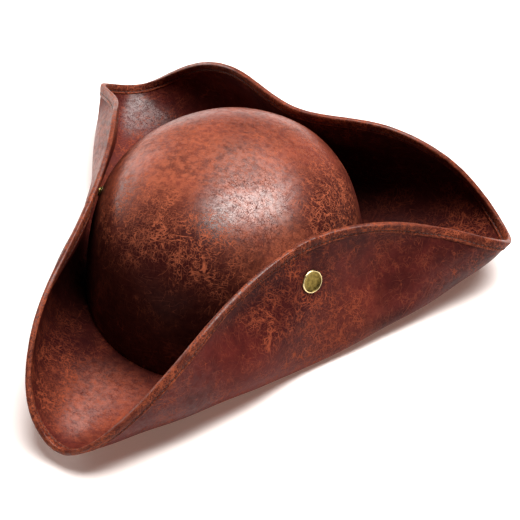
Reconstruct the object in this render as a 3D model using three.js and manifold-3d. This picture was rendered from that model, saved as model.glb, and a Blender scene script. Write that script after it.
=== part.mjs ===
// A tricorn hat of brown leather: a hollow oval crown and one brim turned up on three sides.
// Millimetres, Z up, the front point of the hat towards -Y and its right side towards +X.
// The origin is on the surface that the hat rests on, under the middle of its outline.

import * as THREE from 'three';
import { mergeVertices } from 'three/addons/utils/BufferGeometryUtils.js';
import Module from 'manifold-3d';

const manifold = await Module();
manifold.setup();

const gap = 0.3;
const crownHalfWidth = 91;
const crownHalfLength = 99;
const crownThickness = 2;
const crownSides = 40;
const crownSetBack = 31.6;
const brimThickness = 1.8;
const brimSteps = 10;
const stepsPerSection = 4;
const bindingThickness = 1;
const bindingGap = 0.45;
const bindingWidth = 7.5;
const snapSides = 12;
const snapRadius = 7.5;
const postRadius = 2;
const socketRadius = 5.5;
const socketRecessRadius = 3.8;
const socketThickness = 1;
const studRadius = 4.4;
const studThickness = 0.5;
const knobRadius = 3.2;
const pressReach = 6;
const splineSweeps = 60;

// Distances along a snap's axis from the middle of the flap's leather, towards the outside.
const flapFace = brimThickness / 2;
const socketTop = -flapFace - gap;
const socketBottom = socketTop - socketThickness;
const socketFloor = socketBottom + socketThickness / 2;

const leather = { color: 0x4a1d18, roughness: 0.42, metalness: 0 };
const bindingLeather = { color: 0x54231c, roughness: 0.4, metalness: 0 };
const brass = { color: 0xb08d45, roughness: 0.35, metalness: 1 };

// The crown's outline: the height of a ring over the brim and its size beside the bottom ring.
const crownRings = [
  { height: 0, size: 1 },
  { height: 17, size: 0.994 },
  { height: 33, size: 0.974 },
  { height: 49, size: 0.945 },
  { height: 63, size: 0.903 },
  { height: 74, size: 0.852 },
  { height: 83, size: 0.785 },
  { height: 92, size: 0.69 },
  { height: 99, size: 0.58 },
  { height: 104.5, size: 0.45 },
  { height: 108.5, size: 0.31 },
  { height: 111, size: 0.165 },
  { height: 112, size: 0 },
];

// Sections of the brim from the front tip round the right side to the middle of the back.
// turn is the direction from the crown in degrees. Each point is [right, back, up] from the
// middle of the crown's bottom ring, and the section bends from the crown towards floor, fold
// and wall and ends at edge. The right back corner of the hat is at a turn of 129.
const brimSections = [
  { turn: 0, floor: [0, -114, 0], fold: [0, -145, 1], wall: [0, -176, 3], edge: [0, -190, 12] },
  { turn: 8, floor: [15, -113, 0], fold: [19, -143, 1], wall: [23, -174, 11], edge: [20, -185, 23] },
  { turn: 18, floor: [32, -109, 0], fold: [44, -139, 4], wall: [42, -160, 30], edge: [36, -167, 42] },
  { turn: 32, floor: [56, -98, 0], fold: [72, -119, 24], wall: [55, -128, 51], edge: [49, -131, 64] },
  { turn: 50, floor: [78, -74, 0], fold: [92, -79, 48], wall: [54, -77, 62], edge: [59, -80, 81] },
  { turn: 70, floor: [100, -40, 0], fold: [88, -30, 49], wall: [81, -22, 70], edge: [77, -21, 90] },
  { turn: 90, floor: [116, -4, 0], fold: [118, 6, 27], wall: [101, 29, 59], edge: [109, 32, 76] },
  { turn: 106, floor: [103, 31, 0], fold: [145, 38, 1], wall: [138, 52, 47], edge: [136, 67, 55] },
  { turn: 119, floor: [96, 55, 0], fold: [126, 72, 1], wall: [156, 82, 21], edge: [159, 89, 40] },
  { turn: 129, floor: [85, 72, 0], fold: [112, 91, 7], wall: [139, 109, 14], edge: [150, 115, 25] },
  { turn: 138, floor: [73, 85, 0], fold: [97, 108, 5], wall: [117, 128, 27], edge: [127, 123, 39] },
  { turn: 150, floor: [55, 100, 0], fold: [71, 127, 19], wall: [86, 124, 51], edge: [96, 120, 63] },
  { turn: 164, floor: [31, 113, 0], fold: [36, 128, 38], wall: [50, 104, 62], edge: [53, 105, 82] },
  { turn: 180, floor: [0, 119, 0], fold: [0, 109, 44], wall: [0, 89, 63], edge: [0, 90, 83] },
];

// Each flap is pinned to the crown by one snap, this far down from the edge of the brim.
const snaps = [
  { side: 'right', turn: 68, fromEdge: 28 },
  { side: 'left', turn: 292, fromEdge: 28 },
  { side: 'back', turn: 180, fromEdge: 25 },
];

// The front of a snap's cap from its edge to its middle, over the seat in the leather.
const capFront = [
  { fromRim: 0.6, height: 0 },
  { fromRim: 0, height: 0.6 },
  { fromRim: 0.2, height: 1.3 },
  { fromRim: 0.8, height: 1.6 },
  { fromRim: 1.4, height: 1.2 },
  { fromRim: 2.2, height: 0.9 },
  { fromRim: snapRadius, height: 0.6 },
];

// A mesh of a sub-part in its own material.
function makeMesh(name, geometry, finish) {
  const mesh = new THREE.Mesh(geometry, new THREE.MeshStandardMaterial(finish));
  mesh.name = name;
  return mesh;
}

// A smooth closed curve through a value at each turn, as a cubic spline.
function closedSpline(turns, values) {
  const count = turns.length;
  const spans = turns.map((turn, i) => (turns[(i + 1) % count] - turn + 360) % 360);
  const slope = (i) => (values[(i + 1) % count] - values[i]) / spans[i];
  const bends = values.map(() => 0);
  for (let sweep = 0; sweep < splineSweeps; sweep += 1) {
    for (let i = 0; i < count; i += 1) {
      const before = (i + count - 1) % count;
      const neighbours = spans[before] * bends[before] + spans[i] * bends[(i + 1) % count];
      bends[i] = (6 * (slope(i) - slope(before)) - neighbours) / (2 * (spans[before] + spans[i]));
    }
  }
  return (turn) => {
    const around = ((turn % 360) + 360) % 360;
    const i = turns.findLastIndex((start) => start <= around);
    const next = (i + 1) % count;
    const b = (around - turns[i]) / spans[i];
    const a = 1 - b;
    const curved = ((a ** 3 - a) * bends[i] + (b ** 3 - b) * bends[next]) * (spans[i] ** 2 / 6);
    return a * values[i] + b * values[next] + curved;
  };
}

// The same section on the left side of the hat.
function mirrored(section) {
  const flip = ([right, back, up]) => [-right, back, up];
  return {
    turn: 360 - section.turn,
    floor: flip(section.floor),
    fold: flip(section.fold),
    wall: flip(section.wall),
    edge: flip(section.edge),
  };
}

const allSections = [...brimSections, ...brimSections.slice(1, -1).reverse().map(mirrored)];
const sectionTurns = allSections.map((section) => section.turn);
const rails = ['floor', 'fold', 'wall', 'edge'].map((rail) =>
  [0, 1, 2].map((axis) => closedSpline(sectionTurns, allSections.map((section) => section[rail][axis]))));

// The middle line of the brim at one turn, from the crown out to the edge.
const knownPaths = new Map();
function brimPath(turn) {
  if (!knownPaths.has(turn)) {
    const angle = THREE.MathUtils.degToRad(turn);
    const start = new THREE.Vector3(
      (crownHalfWidth + gap) * Math.sin(angle), -(crownHalfLength + gap) * Math.cos(angle), 0);
    const [floor, fold, wall, edge] = rails.map(
      ([right, back, up]) => new THREE.Vector3(right(turn), back(turn), up(turn)));
    const low = floor.clone().lerp(fold, 0.5);
    const high = fold.clone().lerp(wall, 0.5);
    const middle = low.clone().lerp(high, 0.5);
    const path = new THREE.CurvePath();
    path.add(new THREE.CubicBezierCurve3(start, floor, low, middle));
    path.add(new THREE.CubicBezierCurve3(middle, high, wall, edge));
    knownPaths.set(turn, path);
  }
  return knownPaths.get(turn);
}

// The direction square to the brim at a turn, on the face that looks up and towards the crown.
function brimNormal(turn, part) {
  const outReach = 0.01;
  const sideReach = 0.5;
  const out = brimPath(turn).getPoint(Math.min(part + outReach, 1));
  out.sub(brimPath(turn).getPoint(Math.max(part - outReach, 0)));
  const side = brimPath(turn + sideReach).getPoint(part).sub(brimPath(turn - sideReach).getPoint(part));
  return out.cross(side).normalize();
}

// A point of the brim, a way in from its edge and lifted off its middle line.
function brimPoint(turn, fromEdge, lift) {
  const path = brimPath(turn);
  const part = Math.max(1 - fromEdge / path.getLength(), 0);
  return path.getPoint(part).addScaledVector(brimNormal(turn, part), lift);
}

// The turns at which the brim and its binding have their rows of points.
const rowTurns = allSections.flatMap((section, i) => {
  const next = i + 1 < allSections.length ? allSections[i + 1].turn : 360;
  const step = (next - section.turn) / stepsPerSection;
  return Array.from({ length: stepsPerSection }, (_, k) => section.turn + k * step);
});

// A closed body swept all round the brim. The outline gives its points at one turn. The diagonal
// of each four-cornered face is mirrored on the left side.
function sweptRound(outlineAt) {
  const rows = rowTurns.map((turn) => outlineAt(turn));
  const points = rows.flatMap((row, i) =>
    row.flatMap(({ fromEdge, lift }) => brimPoint(rowTurns[i], fromEdge, lift).toArray()));
  const faces = [];
  const across = rows[0].length;
  for (let i = 0; i < rows.length; i += 1) {
    for (let j = 0; j < across; j += 1) {
      const nextRow = (i + 1) % rows.length;
      const nextPoint = (j + 1) % across;
      const a = i * across + j;
      const b = i * across + nextPoint;
      const c = nextRow * across + nextPoint;
      const d = nextRow * across + j;
      const outward = rows[i][j].fromEdge >= rows[i][nextPoint].fromEdge;
      if (outward === rowTurns[i] < 180) {
        faces.push(a, d, c, a, c, b);
      } else {
        faces.push(a, d, b, d, c, b);
      }
    }
  }
  const geometry = new THREE.BufferGeometry();
  geometry.setAttribute('position', new THREE.Float32BufferAttribute(points, 3));
  geometry.setIndex(faces);
  return geometry;
}

// The brim's outline at one turn: out along its lower face and back along its upper one.
function brimOutline(turn) {
  const wide = brimPath(turn).getLength() - bindingWidth;
  const stops = Array.from(
    { length: brimSteps }, (_, k) => bindingWidth + wide * (1 - k / (brimSteps - 1)));
  stops.push(bindingThickness + bindingGap);
  const lower = stops.map((fromEdge) => ({ fromEdge, lift: -brimThickness / 2 }));
  const upper = stops.map((fromEdge) => ({ fromEdge, lift: brimThickness / 2 })).reverse();
  return [...lower, ...upper];
}

// The binding's outline: a narrow strip folded over the edge, with rounded outer corners.
function bindingOutline() {
  const inner = brimThickness / 2 + bindingGap;
  const outer = inner + bindingThickness;
  const corner = outer / 2;
  const lower = [
    { fromEdge: bindingThickness, lift: -inner },
    { fromEdge: bindingWidth, lift: -inner },
    { fromEdge: bindingWidth, lift: -outer },
    { fromEdge: corner, lift: -outer },
    { fromEdge: 0, lift: -corner },
  ];
  const upper = lower.map(({ fromEdge, lift }) => ({ fromEdge, lift: -lift })).reverse();
  return [...lower, ...upper];
}

// A body turned round its axis, with the axis along Z.
function turned(profile, sides) {
  const outline = profile.map(([radius, up]) => new THREE.Vector2(radius, up));
  const geometry = new THREE.LatheGeometry(outline, sides);
  geometry.rotateX(Math.PI / 2);
  return geometry;
}

// The crown's shell: up its outer face to the top and down its inner face to the bottom edge.
function crownShell() {
  const outer = crownRings.map(({ height, size }) => new THREE.Vector2(size * crownHalfLength, height));
  const inner = outer.map((point, i) => {
    const after = outer[Math.min(i + 1, outer.length - 1)];
    const before = outer[Math.max(i - 1, 0)];
    const along = i === 0 ? new THREE.Vector2(0, 1) : after.clone().sub(before).normalize();
    return new THREE.Vector2(point.x - along.y * crownThickness, point.y + along.x * crownThickness);
  });
  outer[0].y = -brimThickness / 2;
  inner[0].y = -brimThickness / 2;
  inner[inner.length - 1].set(0, outer[outer.length - 1].y - crownThickness);
  const profile = [...inner.reverse(), ...outer].map((point) => [Math.max(point.x, 0), point.y]);
  const geometry = turned(profile, crownSides);
  geometry.scale(crownHalfWidth / crownHalfLength, 1, 1);
  return geometry;
}

// A closed body that can be cut, from a geometry with its shared corners joined.
function asSolid(source) {
  const bare = source.clone();
  bare.deleteAttribute('normal');
  bare.deleteAttribute('uv');
  const joined = mergeVertices(bare, 0.001);
  const corners = Array.from(joined.index.array);
  const kept = [];
  for (let i = 0; i < corners.length; i += 3) {
    const [a, b, c] = corners.slice(i, i + 3);
    if (a !== b && b !== c && c !== a) {
      kept.push(a, b, c);
    }
  }
  return new manifold.Manifold(new manifold.Mesh({
    numProp: 3,
    vertProperties: Float32Array.from(joined.attributes.position.array),
    triVerts: Uint32Array.from(kept),
  }));
}

// The geometry of a cut body.
function asGeometry(solid) {
  const { vertProperties, triVerts } = solid.getMesh();
  const geometry = new THREE.BufferGeometry();
  geometry.setAttribute('position', new THREE.BufferAttribute(vertProperties, 3));
  geometry.setIndex(new THREE.BufferAttribute(triVerts, 1));
  return geometry;
}

// Where a snap sits: the middle of the leather, with Z pointing away from the crown.
function snapPlace({ turn, fromEdge }) {
  const part = 1 - fromEdge / brimPath(turn).getLength();
  const outward = brimNormal(turn, part).negate();
  const facing = new THREE.Quaternion().setFromUnitVectors(new THREE.Vector3(0, 0, 1), outward);
  const place = new THREE.Object3D();
  place.position.copy(brimPoint(turn, fromEdge, 0));
  place.quaternion.copy(facing);
  place.updateMatrix();
  return place;
}

// How far the crown's outer face lies behind the middle of the flap at a snap.
function depthToCrown(place, crownSurface) {
  const inward = new THREE.Vector3(0, 0, -1).applyQuaternion(place.quaternion);
  return new THREE.Raycaster(place.position, inward).intersectObject(crownSurface)[0].distance;
}

// The cap: a dished disc with a raised rim, a post through the flap and a socket behind it.
function snapCap() {
  const face = flapFace + gap;
  return turned([
    [0, socketFloor],
    [socketRecessRadius, socketFloor],
    [socketRecessRadius, socketBottom],
    [socketRadius, socketBottom],
    [socketRadius, socketTop],
    [postRadius, socketTop],
    [postRadius, face],
    ...capFront.map(({ fromRim, height }) => [snapRadius - fromRim, face + height]),
  ], snapSides);
}

// The stud: a plate on the crown with a knob in the socket, and a post to a back plate inside.
function snapStud(depth) {
  const plateBottom = -depth + gap;
  const plateTop = plateBottom + studThickness;
  const backTop = -depth - crownThickness - gap;
  return turned([
    [0, backTop - studThickness],
    [studRadius, backTop - studThickness],
    [studRadius, backTop],
    [postRadius, backTop],
    [postRadius, plateBottom],
    [studRadius, plateBottom],
    [studRadius, plateTop],
    [knobRadius, plateTop],
    [knobRadius, socketFloor - gap],
    [0, socketFloor - gap],
  ], snapSides);
}

// A round body to cut away at a snap, between two distances along its axis.
function roundCut(place, radius, low, high) {
  const geometry = new THREE.CylinderGeometry(radius, radius, high - low, snapSides);
  geometry.translate(0, (low + high) / 2, 0);
  geometry.rotateX(Math.PI / 2);
  geometry.applyMatrix4(place.matrix);
  return asSolid(geometry);
}

// The hole through the flap and the flat seats that the cap and the socket press into it.
function flapCuts(place) {
  return [
    roundCut(place, postRadius + gap, -pressReach, pressReach),
    roundCut(place, snapRadius + gap, flapFace, flapFace + pressReach),
    roundCut(place, socketRadius + gap, -flapFace - pressReach, -flapFace),
  ];
}

// The hole through the crown and the flat seats of the stud's two plates.
function crownCuts(place, depth) {
  const inside = -depth - crownThickness;
  return [
    roundCut(place, postRadius + gap, inside - pressReach, -depth + pressReach),
    roundCut(place, studRadius + gap, -depth, -depth + pressReach),
    roundCut(place, studRadius + gap, inside - pressReach, inside),
  ];
}

const crownGeometry = crownShell();
const crownSurface = new THREE.Mesh(crownGeometry, new THREE.MeshBasicMaterial());
const places = snaps.map((snap) => snapPlace(snap));
const depths = places.map((place) => depthToCrown(place, crownSurface));
const crownSolid = places.flatMap((place, i) => crownCuts(place, depths[i]))
  .reduce((body, cut) => body.subtract(cut), asSolid(crownGeometry));
const brimSolid = places.flatMap((place) => flapCuts(place))
  .reduce((body, cut) => body.subtract(cut), asSolid(sweptRound(brimOutline)));

const hat = new THREE.Group();
hat.position.set(0, crownSetBack, brimThickness / 2);
hat.add(makeMesh('crown', asGeometry(crownSolid), leather));
hat.add(makeMesh('brim', asGeometry(brimSolid), leather));
hat.add(makeMesh('edge_binding', sweptRound(bindingOutline), bindingLeather));
snaps.forEach(({ side }, i) => {
  const cap = makeMesh(`snap_cap_${side}`, snapCap(), brass);
  const stud = makeMesh(`snap_stud_${side}`, snapStud(depths[i]), brass);
  for (const piece of [cap, stud]) {
    piece.position.copy(places[i].position);
    piece.quaternion.copy(places[i].quaternion);
    hat.add(piece);
  }
});

const part = new THREE.Group();
part.add(hat);

export default part;
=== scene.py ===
from functools import cache
from math import cos, pi, radians, sin

import bmesh
import bpy
import numpy as np
from mathutils import Matrix, Vector, noise
from mathutils.bvhtree import BVHTree


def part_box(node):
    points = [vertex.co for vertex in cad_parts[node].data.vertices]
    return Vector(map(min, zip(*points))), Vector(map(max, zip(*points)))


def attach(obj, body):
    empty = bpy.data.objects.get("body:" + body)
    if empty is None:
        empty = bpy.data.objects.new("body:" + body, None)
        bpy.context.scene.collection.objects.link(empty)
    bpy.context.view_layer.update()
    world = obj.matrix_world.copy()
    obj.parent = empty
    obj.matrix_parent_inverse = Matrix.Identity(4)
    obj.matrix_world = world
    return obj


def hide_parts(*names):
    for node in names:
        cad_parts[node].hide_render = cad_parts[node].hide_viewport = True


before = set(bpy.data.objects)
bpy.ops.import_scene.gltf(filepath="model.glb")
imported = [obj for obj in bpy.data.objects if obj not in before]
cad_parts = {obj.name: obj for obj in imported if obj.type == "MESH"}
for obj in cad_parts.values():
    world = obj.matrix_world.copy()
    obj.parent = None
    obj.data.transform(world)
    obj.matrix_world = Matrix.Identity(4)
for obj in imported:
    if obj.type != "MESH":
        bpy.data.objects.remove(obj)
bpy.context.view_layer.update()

# The crown: one dome moulded from a single hide, an oval like the head and open below. The hide
# has a dark dye rubbed over a rust one, and where it has been bent the dark coat has broken into
# hairs and cracks. Its bottom edge is butted against the brim and sewn to it inside.
MM = 0.001
DOME_RINGS = 84
DOME_SIDES = 200
CROWN_THICKNESS = 2 * MM
# The slow unevenness of the moulded hide: how high and how wide its swells are, and how far
# above the seam it is full.
CROWN_UNEVENNESS = 0.35 * MM
CROWN_SWELL = 28 * MM
CROWN_EVEN_FOOT = 20 * MM


def feed(tree, socket, value):
    """Sets a socket to a value, or links it to another socket."""
    if isinstance(value, bpy.types.NodeSocket):
        tree.links.new(value, socket)
    else:
        socket.default_value = value


def math_node(tree, operation, *values):
    node = tree.nodes.new("ShaderNodeMath")
    node.operation = operation
    for socket, value in zip(node.inputs, values):
        feed(tree, socket, value)
    return node.outputs[0]


def ramp(tree, value, low, high, start=0.0, end=1.0):
    """Turns a range of values smoothly into another one."""
    node = tree.nodes.new("ShaderNodeMapRange")
    node.interpolation_type = "SMOOTHSTEP"
    for socket, given in zip(node.inputs, (value, low, high, start, end)):
        feed(tree, socket, given)
    return node.outputs[0]


def strongest(tree, masks):
    """The highest of several masks at each place."""
    highest = masks[0]
    for mask in masks[1:]:
        highest = math_node(tree, "MAXIMUM", highest, mask)
    return highest


def blend_colour(tree, share, first, second):
    node = tree.nodes.new("ShaderNodeMix")
    node.data_type = "RGBA"
    feed(tree, node.inputs["Factor"], share)
    feed(tree, node.inputs[6], first)
    feed(tree, node.inputs[7], second)
    return node.outputs[2]


def clouds(tree, where, per_metre, detail=2.0, roughness=0.5, output="Fac"):
    """Soft noise round a half, or with output Color a different one for each direction."""
    node = tree.nodes.new("ShaderNodeTexNoise")
    feed(tree, node.inputs["Vector"], where)
    node.inputs["Scale"].default_value = per_metre
    node.inputs["Detail"].default_value = detail
    node.inputs["Roughness"].default_value = roughness
    return node.outputs[output]


def cracks(tree, where, per_metre, width):
    """Lines along the borders of crazed cells, 1 on the line and 0 off it."""
    node = tree.nodes.new("ShaderNodeTexVoronoi")
    node.feature = "DISTANCE_TO_EDGE"
    feed(tree, node.inputs["Vector"], where)
    node.inputs["Scale"].default_value = per_metre
    return ramp(tree, node.outputs["Distance"], 0.0, width, 1.0, 0.0)


def combed(tree, where, turn, stretch):
    """The same place turned and drawn out one way, so that a pattern there runs in long strands."""
    node = tree.nodes.new("ShaderNodeMapping")
    node.vector_type = "TEXTURE"
    feed(tree, node.inputs["Vector"], where)
    node.inputs["Rotation"].default_value = [radians(angle) for angle in turn]
    node.inputs["Scale"].default_value = (stretch, 1, 1)
    return node.outputs[0]


def shifted(tree, where, offset, amount):
    """The same place moved by a varying offset, so that straight lines wander."""
    node = tree.nodes.new("ShaderNodeVectorMath")
    node.operation = "MULTIPLY_ADD"
    feed(tree, node.inputs[0], offset)
    feed(tree, node.inputs[1], (amount, amount, amount))
    feed(tree, node.inputs[2], where)
    return node.outputs[0]


def new_group(name, inputs, outputs):
    tree = bpy.data.node_groups.new(name, "ShaderNodeTree")
    for label, kind in inputs:
        tree.interface.new_socket(label, in_out="INPUT", socket_type=kind)
    for label, kind in outputs:
        tree.interface.new_socket(label, in_out="OUTPUT", socket_type=kind)
    return tree, tree.nodes.new("NodeGroupInput"), tree.nodes.new("NodeGroupOutput")


def use_group(tree, group, **values):
    node = tree.nodes.new("ShaderNodeGroup")
    node.node_tree = group
    for label, value in values.items():
        feed(tree, node.inputs[label.replace("_", " ")], value)
    return node


# The soft patterns of the hide: how many a metre, how much finer detail, and how rough it is.
HIDE_NOISE = {
    "bends": {"per_metre": 34, "detail": 2, "roughness": 0.5},
    "crumples": {"per_metre": 150, "detail": 3, "roughness": 0.65},
    "hair patches": {"per_metre": 34, "detail": 5, "roughness": 0.72},
    "hair breaks": {"per_metre": 90, "detail": 2, "roughness": 0.6},
    "vein gaps": {"per_metre": 130, "detail": 3, "roughness": 0.65},
    "craze gaps": {"per_metre": 120, "detail": 3, "roughness": 0.65},
    "dye": {"per_metre": 18, "detail": 5, "roughness": 0.68},
    "smears": {"per_metre": 230, "detail": 6, "roughness": 0.78},
    "wax": {"per_metre": 45, "detail": 3, "roughness": 0.5},
    "flecks": {"per_metre": 300, "detail": 4, "roughness": 0.75},
    "pebbles": {"per_metre": 900, "detail": 2, "roughness": 0.6},
    "creases": {"per_metre": 210, "detail": 3, "roughness": 0.6},
}
# How far lines wander off their straight course, and how far the small crumples move them.
WANDER = 4.5 * MM
CRUMPLE = 3 * MM
# The hairs in the worn places.
HAIRS = [
    # how the strands lie in degrees, how many a metre, how drawn out, half width on the noise
    {"turn": (0, 0, 15), "per_metre": 390, "stretch": 11, "width": 0.034},
    {"turn": (0, 0, 75), "per_metre": 340, "stretch": 11, "width": 0.030},
    {"turn": (0, 90, 0), "per_metre": 360, "stretch": 11, "width": 0.034},
    {"turn": (0, 45, 30), "per_metre": 380, "stretch": 11, "width": 0.030},
    {"turn": (0, -45, 110), "per_metre": 330, "stretch": 11, "width": 0.028},
]
# A few longer, thinner and fainter hairs that lie all over the hide.
LONG_HAIRS = [
    {"turn": (0, -15, 5), "per_metre": 190, "stretch": 14, "width": 0.013},
    {"turn": (0, -60, 60), "per_metre": 170, "stretch": 14, "width": 0.012},
    {"turn": (0, 25, 120), "per_metre": 180, "stretch": 14, "width": 0.013},
    {"turn": (0, 5, 165), "per_metre": 180, "stretch": 14, "width": 0.012},
]
LONG_HAIR_WEAR = 0.3
LONG_HAIR_STRENGTH = 0.55
# Branching cracks in the dark coat, among the hairs.
VEINS = [{"turn": (0, 80, 20), "per_metre": 250}, {"turn": (0, 15, 50), "per_metre": 340}]
VEIN_STRETCH = 2.4
VEIN_WIDTH = 0.07
# Dark splits in the polish, beside the net of fine dark cracks.
SPLITS = [
    {"turn": (0, 10, 40), "per_metre": 230, "stretch": 8, "width": 0.016},
    {"turn": (0, -20, 100), "per_metre": 260, "stretch": 8, "width": 0.016},
    {"turn": (0, 15, 160), "per_metre": 210, "stretch": 8, "width": 0.014},
]
NET_PER_METRE = 560
NET_WIDTH = 0.10
# The rust dye rubbed over the dark one: which way it was wiped, and how drawn out.
SMEAR_TURN = (0, 0, 15)
SMEAR_STRETCH = 1.2


def strands(tree, where, number, worn, turn, per_metre, stretch, width):
    """Long broken hairs that all run roughly one way, 1 on a hair and 0 off it. A number of its
    own breaks each layer in other places."""
    waves = clouds(tree, combed(tree, where, turn, stretch), per_metre, 0)
    off_hair = math_node(tree, "ABSOLUTE", math_node(tree, "SUBTRACT", waves, 0.5))
    hair = ramp(tree, off_hair, 0.0, width, 1.0, 0.0)
    elsewhere = shifted(tree, where, (number, number, number), 1.0)
    breaks = clouds(tree, elsewhere, **HIDE_NOISE["hair breaks"])
    left = math_node(tree, "MULTIPLY_ADD", worn, 0.09, breaks)
    return math_node(tree, "MULTIPLY", hair, ramp(tree, left, 0.50, 0.64))


def rust_lines(tree, where, wandering, crumpled, worn):
    """Where the dark coat has broken and shows the rust dye: hairs and branching cracks in
    uneven patches of the worn places, and long hairs everywhere."""
    lines = [strands(tree, wandering, number, worn, **hair) for number, hair in enumerate(HAIRS)]
    gaps = ramp(tree, clouds(tree, where, **HIDE_NOISE["vein gaps"]), 0.46, 0.56)
    for vein in VEINS:
        drawn_out = combed(tree, crumpled, vein["turn"], VEIN_STRETCH)
        layer = cracks(tree, drawn_out, vein["per_metre"], VEIN_WIDTH)
        lines.append(math_node(tree, "MULTIPLY", layer, gaps))
    patches = clouds(tree, where, **HIDE_NOISE["hair patches"])
    haired = ramp(tree, math_node(tree, "MULTIPLY_ADD", worn, 0.26, patches), 0.46, 0.76)
    shown = [math_node(tree, "MULTIPLY", strongest(tree, lines), haired)]
    for number, hair in enumerate(LONG_HAIRS):
        layer = strands(tree, wandering, 10 + number, LONG_HAIR_WEAR, **hair)
        shown.append(math_node(tree, "MULTIPLY", layer, LONG_HAIR_STRENGTH))
    return strongest(tree, shown)


def dark_cracks(tree, where, crumpled, crazed):
    """Where the polish has cracked: an uneven net, and longer splits across it."""
    whole = ramp(tree, clouds(tree, where, **HIDE_NOISE["craze gaps"]), 0.36, 0.56, 0.25, 1.0)
    net = cracks(tree, crumpled, NET_PER_METRE, NET_WIDTH)
    lines = [math_node(tree, "MULTIPLY", net, whole)]
    for number, split in enumerate(SPLITS):
        lines.append(strands(tree, where, 20 + number, 0.0, **split))
    return math_node(tree, "MULTIPLY", strongest(tree, lines), crazed)


def distressed_leather_group():
    """The rubbed two-colour hide: its colour, roughness, top coat and the height of its surface.
    Worn has rust hairs on a dark ground, Crazed has dark cracks, and Polished has a glossy top
    coat. The rust-dust mask dusts it with rust, as real dust and as painted light where light
    falls, and the shade mask is painted shade: more of the dark dye and fainter hairs."""
    tree, given, made = new_group(
        "distressed leather",
        [("Where", "NodeSocketVector"), ("Dark Dye", "NodeSocketColor"),
         ("Light Dye", "NodeSocketColor"), ("Rust", "NodeSocketColor"),
         ("Worn", "NodeSocketFloat"), ("Crazed", "NodeSocketFloat"), ("Rubbed", "NodeSocketFloat"),
         ("Darkened", "NodeSocketFloat"), ("Polished", "NodeSocketFloat")],
        [("Colour", "NodeSocketColor"), ("Roughness", "NodeSocketFloat"),
         ("Top Coat", "NodeSocketFloat"), ("Height", "NodeSocketFloat")])
    where = given.outputs["Where"]
    worn = given.outputs["Worn"]
    painted_shade = given.outputs["Darkened"]
    dark_dye = given.outputs["Dark Dye"]
    rust = given.outputs["Rust"]
    bends = clouds(tree, where, **HIDE_NOISE["bends"], output="Color")
    wandering = shifted(tree, where, bends, WANDER)
    crumples = clouds(tree, where, **HIDE_NOISE["crumples"], output="Color")
    crumpled = shifted(tree, where, crumples, CRUMPLE)
    hairs = rust_lines(tree, where, wandering, crumpled, worn)
    crazing = dark_cracks(tree, where, crumpled, given.outputs["Crazed"])

    # The dark and the light dye lie in clouds, with the dark one left in the worn places and, as
    # painted shade, in the shaded places.
    dye = clouds(tree, where, **HIDE_NOISE["dye"])
    dye = math_node(tree, "MULTIPLY_ADD", painted_shade, -0.22, dye)
    base = blend_colour(tree, ramp(tree, dye, 0.34, 0.66), dark_dye, given.outputs["Light Dye"])
    base = blend_colour(tree, math_node(tree, "MULTIPLY", worn, 0.9), base, dark_dye)

    # Rust is dusted over them in smears, least where the hide is worn. The dusting is partly painted
    # light: it is laid on thicker where light falls, to make those places paler.
    wiped = combed(tree, wandering, SMEAR_TURN, SMEAR_STRETCH)
    smears = clouds(tree, wiped, **HIDE_NOISE["smears"])
    rust_dust_and_light = ramp(tree, smears, 0.41, 0.59, 0.34, 1.0)
    rust_dust_and_light = math_node(tree, "MULTIPLY", rust_dust_and_light, math_node(tree, "MULTIPLY_ADD", worn, -0.6, 1.0))
    rubbed = math_node(tree, "MULTIPLY_ADD", given.outputs["Rubbed"], 0.78, 0.08)
    rust_dust_and_light = math_node(tree, "MULTIPLY", rust_dust_and_light, rubbed)
    base = blend_colour(tree, rust_dust_and_light, base, rust)

    # The cracks are dark and the hairs are rust, fainter under the painted shade.
    base = blend_colour(tree, math_node(tree, "MULTIPLY", crazing, 0.7), base, dark_dye)
    hair_strength = math_node(tree, "MULTIPLY_ADD", painted_shade, -0.35, 0.95)
    hair_strength = math_node(tree, "MULTIPLY", hairs, hair_strength)
    feed(tree, made.inputs["Colour"], blend_colour(tree, hair_strength, base, rust))

    # The wax is uneven, and both kinds of line break it.
    openings = strongest(tree, [hairs, crazing])
    wax = clouds(tree, where, **HIDE_NOISE["wax"])
    roughness = math_node(tree, "MULTIPLY_ADD", wax, 0.22, 0.36)
    roughness = math_node(tree, "MULTIPLY_ADD", openings, 0.3, roughness)
    feed(tree, made.inputs["Roughness"], roughness)
    flecks = ramp(tree, clouds(tree, where, **HIDE_NOISE["flecks"]), 0.36, 0.58, 0.5, 1.15)
    top_coat = math_node(tree, "MULTIPLY", ramp(tree, openings, 0.1, 0.9, 1.0, 0.15), flecks)
    top_coat = math_node(tree, "MULTIPLY", top_coat, given.outputs["Polished"])
    feed(tree, made.inputs["Top Coat"], top_coat)

    # The grain stands up in pebbles and creases, and the hairs are sunk in it.
    creases = math_node(tree, "MULTIPLY", clouds(tree, where, **HIDE_NOISE["creases"]), 0.35)
    pebbles = clouds(tree, where, **HIDE_NOISE["pebbles"])
    grain = math_node(tree, "MULTIPLY_ADD", pebbles, 0.35, creases)
    feed(tree, made.inputs["Height"], math_node(tree, "MULTIPLY_ADD", hairs, -0.45, grain))
    return tree


DISTRESSED_LEATHER = distressed_leather_group()


def new_material(name):
    made = bpy.data.materials.new(name)
    made.use_nodes = True
    shader = made.node_tree.nodes["Principled BSDF"]
    return made, made.node_tree, shader


def add_bump(tree, shader, height, depth):
    bump = tree.nodes.new("ShaderNodeBump")
    bump.inputs["Distance"].default_value = depth
    feed(tree, bump.inputs["Height"], height)
    feed(tree, shader.inputs["Normal"], bump.outputs["Normal"])


def object_place(tree):
    return tree.nodes.new("ShaderNodeTexCoord").outputs["Object"]


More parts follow.
